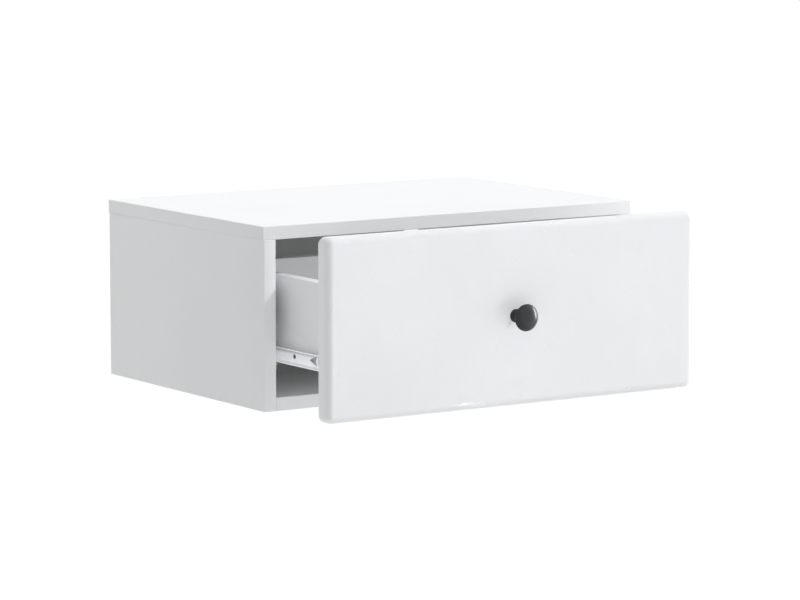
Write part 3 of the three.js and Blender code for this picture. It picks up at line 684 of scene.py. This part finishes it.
def shank_rings(kind):
    """The threaded shank's rings from the head to the point."""
    first, length = kind["shank_start"], kind["length"]
    rows = math.ceil((length - first) / kind["pitch"] * THREAD_ROWS)
    rings = []
    for row in range(rows):
        offset = first + (length - first) * row / rows
        taper = min(1, (length - offset) / kind["point"])
        ring = []
        for place in range(RING_CORNERS):
            turn = EVEN_STEP * (place - ARM_MIDDLE_PLACE)
            phase = (offset / kind["pitch"] - turn / (2 * math.pi)) % 1
            ridge = max(0, 1 - abs(phase - 0.5) / THREAD_RIDGE_SHARE)
            ring.append(((kind["root"] + (kind["crest"] - kind["root"]) * ridge) * taper, turn, offset))
        rings.append(ring)
    return rings


def detailed_screw(node, body, kind, axis, sign):
    """A screw along the axis with this number, driven in the sign's direction, where its node is."""
    low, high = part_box(node)
    seat = [(a + b) / 2 for a, b in zip(low, high)]
    seat[axis] = low[axis] + kind["dome_height"] if sign > 0 else high[axis] - kind["dome_height"]
    across = [i for i in range(3) if i != axis]
    rings = head_rings(kind) + shank_rings(kind)

    def corner(radius, turn, offset):
        place = list(seat)
        place[axis] += sign * offset
        place[across[0]] += radius * math.cos(turn)
        place[across[1]] += radius * math.sin(turn)
        return place

    corners = [corner(0, 0, head_top(0, kind) + kind["recess_depth"])]
    corners += [corner(*c) for ring in rings for c in ring]
    corners.append(corner(0, 0, kind["length"]))
    faces = [(0, 1 + i, 1 + (i + 1) % RING_CORNERS) for i in range(RING_CORNERS)]
    for row in range(len(rings) - 1):
        start = 1 + row * RING_CORNERS
        after = start + RING_CORNERS
        for i in range(RING_CORNERS):
            following = (i + 1) % RING_CORNERS
            faces.append((start + i, after + i, after + following, start + following))
    last = 1 + (len(rings) - 1) * RING_CORNERS
    faces += [(last + (i + 1) % RING_CORNERS, last + i, len(corners) - 1) for i in range(RING_CORNERS)]
    made = solid_piece(f"{node}_detail", corners, faces, finishes["screw_steel"])
    smoothed(made, smooth)
    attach(made, body)
    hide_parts(node)


for hand, side in HANDS.items():
    for end in ("front", "rear"):
        detailed_screw(f"{hand}_outer_rail_{end}_screw", "carcass", PAN_SCREW, X_AXIS, side)
        detailed_screw(f"{hand}_inner_rail_{end}_screw", "drawer", PAN_SCREW, X_AXIS, -side)
    for level in ("lower", "upper"):
        detailed_screw(f"{hand}_drawer_back_{level}_screw", "drawer", SUNK_SCREW, X_AXIS, -side)
detailed_screw("knob_screw", "drawer", KNOB_SCREW, Y_AXIS, -1)


# Stage

def stage_material():
    """White for the eye, with the object's shadow, and seen from above alone."""
    s = Shader("floor_finish")
    s.bsdf.inputs["Base Color"].default_value = (*FLOOR_COLOUR, 1)
    s.bsdf.inputs["Roughness"].default_value = FLOOR_ROUGHNESS
    s.bsdf.inputs["Specular IOR Level"].default_value = 0
    glow = s.node("ShaderNodeEmission")
    clear = s.node("ShaderNodeBsdfTransparent")
    path = s.node("ShaderNodeLightPath")
    seen = s.maths("MAXIMUM", path.outputs["Is Camera Ray"], path.outputs["Is Glossy Ray"])
    share = s.maths("MULTIPLY", seen, FLOOR_GLOW_SHARE)
    glow.inputs["Strength"].default_value = FLOOR_GLOW
    lit = s.node("ShaderNodeMixShader")
    s.link(share, lit.inputs["Fac"])
    s.link(s.bsdf.outputs["BSDF"], lit.inputs[1])
    s.link(glow.outputs["Emission"], lit.inputs[2])
    below = s.node("ShaderNodeNewGeometry")
    shown = s.node("ShaderNodeMixShader")
    s.link(below.outputs["Backfacing"], shown.inputs["Fac"])
    s.link(lit.outputs["Shader"], shown.inputs[1])
    s.link(clear.outputs["BSDF"], shown.inputs[2])
    s.link(shown.outputs["Shader"], s.tree.nodes["Material Output"].inputs["Surface"])
    return s.material


def floor(height):
    w = FLOOR_HALF_WIDTH
    corners = [(-w, -w, height), (w, -w, height), (w, w, height), (-w, w, height)]
    mesh = bpy.data.meshes.new("floor")
    mesh.from_pydata(corners, [], [(0, 1, 2, 3)])
    mesh.materials.append(stage_material())
    made = bpy.data.objects.new("floor", mesh)
    bpy.context.scene.collection.objects.link(made)


floor(cad_box[0][2] - FLOOR_DROP)


# Light

def studio():
    """The world: two glows that light the object, and white for the eye and for mirrors."""
    world = bpy.data.worlds.new("studio")
    world.use_nodes = True
    t = Tree(world.node_tree)
    place = t.node("ShaderNodeTexCoord")

    def glow(direction, strength):
        facing = t.node("ShaderNodeVectorMath", operation="DOT_PRODUCT")
        facing.inputs[1].default_value = direction
        t.link(place.outputs["Generated"], facing.inputs[0])
        forwards = t.maths("MAXIMUM", facing.outputs["Value"], 0)
        return t.maths("MULTIPLY", t.maths("POWER", forwards, GLOW_POWER), strength)

    light = t.maths("ADD", glow(REAR_GLOW_DIRECTION, REAR_GLOW), glow(CEILING_GLOW_DIRECTION, CEILING_GLOW))
    path = t.node("ShaderNodeLightPath")
    mirrored = t.maths("MAXIMUM", path.outputs["Is Camera Ray"], path.outputs["Is Glossy Ray"])
    clear = t.maths("MAXIMUM", mirrored, path.outputs["Is Transmission Ray"])
    unseen = t.maths("MULTIPLY", light, t.maths("SUBTRACT", 1, clear))
    background = t.tree.nodes["Background"]
    background.inputs["Color"].default_value = (1, 1, 1, 1)
    t.link(t.maths("ADD", unseen, t.maths("MULTIPLY", clear, WORLD_SEEN)), background.inputs["Strength"])
    return world


bpy.context.scene.world = studio()


def sunlight(name, direction, strength):
    """A sun that shines against the direction in which it lies."""
    data = bpy.data.lights.new(name, "SUN")
    data.energy = strength
    made = bpy.data.objects.new(name, data)
    made.rotation_euler = Vector(direction).to_track_quat("Z", "Y").to_euler()
    bpy.context.scene.collection.objects.link(made)
    return made


def linked(name, members, state):
    """A collection that gives a lamp pieces to light or to leave out."""
    group = bpy.data.collections.new(name)
    for member in members:
        group.objects.link(nodes[member])
    for entry in group.collection_objects:
        entry.light_linking.link_state = state
    return group


# The knob throws no hard shadow on the front, and mirrors only the room and lights of its own
knob_parts = ["knob", "knob_screw"]
knob_left_out = linked("knob_left_out", knob_parts, "EXCLUDE")
for name, (direction, strength, angle) in SUNS.items():
    sun = sunlight(name, direction, strength)
    sun.data.angle = math.radians(angle)
    sun.light_linking.receiver_collection = knob_left_out
    sun.light_linking.blocker_collection = knob_left_out
    sun.visible_glossy = False
bpy.data.lights["key"].color = KEY_COLOUR
front_fill = sunlight("front_fill", *FRONT_FILL)
front_fill.data.use_shadow = False
front_fill.visible_glossy = False
front_fill.light_linking.receiver_collection = knob_left_out
knob_alone = linked("knob_alone", knob_parts, "INCLUDE")
for name, (direction, strength, angle) in KNOB_LIGHTS.items():
    sun = sunlight(name, direction, strength)
    sun.data.angle = math.radians(angle)
    sun.light_linking.receiver_collection = knob_alone
    sun.light_linking.blocker_collection = knob_alone

# A little more light on three pieces
for name, (direction, strength) in PIECE_LIGHTS.items():
    sun = sunlight(f"{name}_light", direction, strength)
    sun.data.use_shadow = False
    sun.visible_glossy = False
    sun.light_linking.receiver_collection = linked(f"{name}_receiver", [name], "INCLUDE")

# The slides' plating mirrors a light at each side, which only the drawer and the boards round it keep off
rails = [name for name in nodes if name.endswith("_rail")]
see_through = ["left_side_panel", "right_side_panel"]
see_through += [name for name in nodes if name.endswith(("_outer_rail", "_middle_rail", "_ball_cage"))]
for hand, direction in SLIDE_LIGHT_DIRECTIONS.items():
    sun = sunlight(f"{hand}_slide_light", direction, SLIDE_LIGHT_STRENGTH)
    sun.data.angle = math.radians(SLIDE_LIGHT_ANGLE)
    sun.light_linking.receiver_collection = linked(f"{hand}_slide_receivers", rails, "INCLUDE")
    sun.light_linking.blocker_collection = linked(f"{hand}_slide_blockers", see_through, "EXCLUDE")


# Camera

camera_data = bpy.data.cameras.new("camera")
camera_data.lens = CAMERA_LENS
camera_data.sensor_width = SENSOR_WIDTH
camera = bpy.data.objects.new("camera", camera_data)
camera.location = CAMERA_PLACE
camera.rotation_euler = (math.radians(90 - CAMERA_PITCH), 0, math.radians(-CAMERA_YAW))
bpy.context.scene.collection.objects.link(camera)
bpy.context.scene.camera = camera
bpy.context.scene.view_settings.view_transform = "Standard"

bpy.context.view_layer.update()
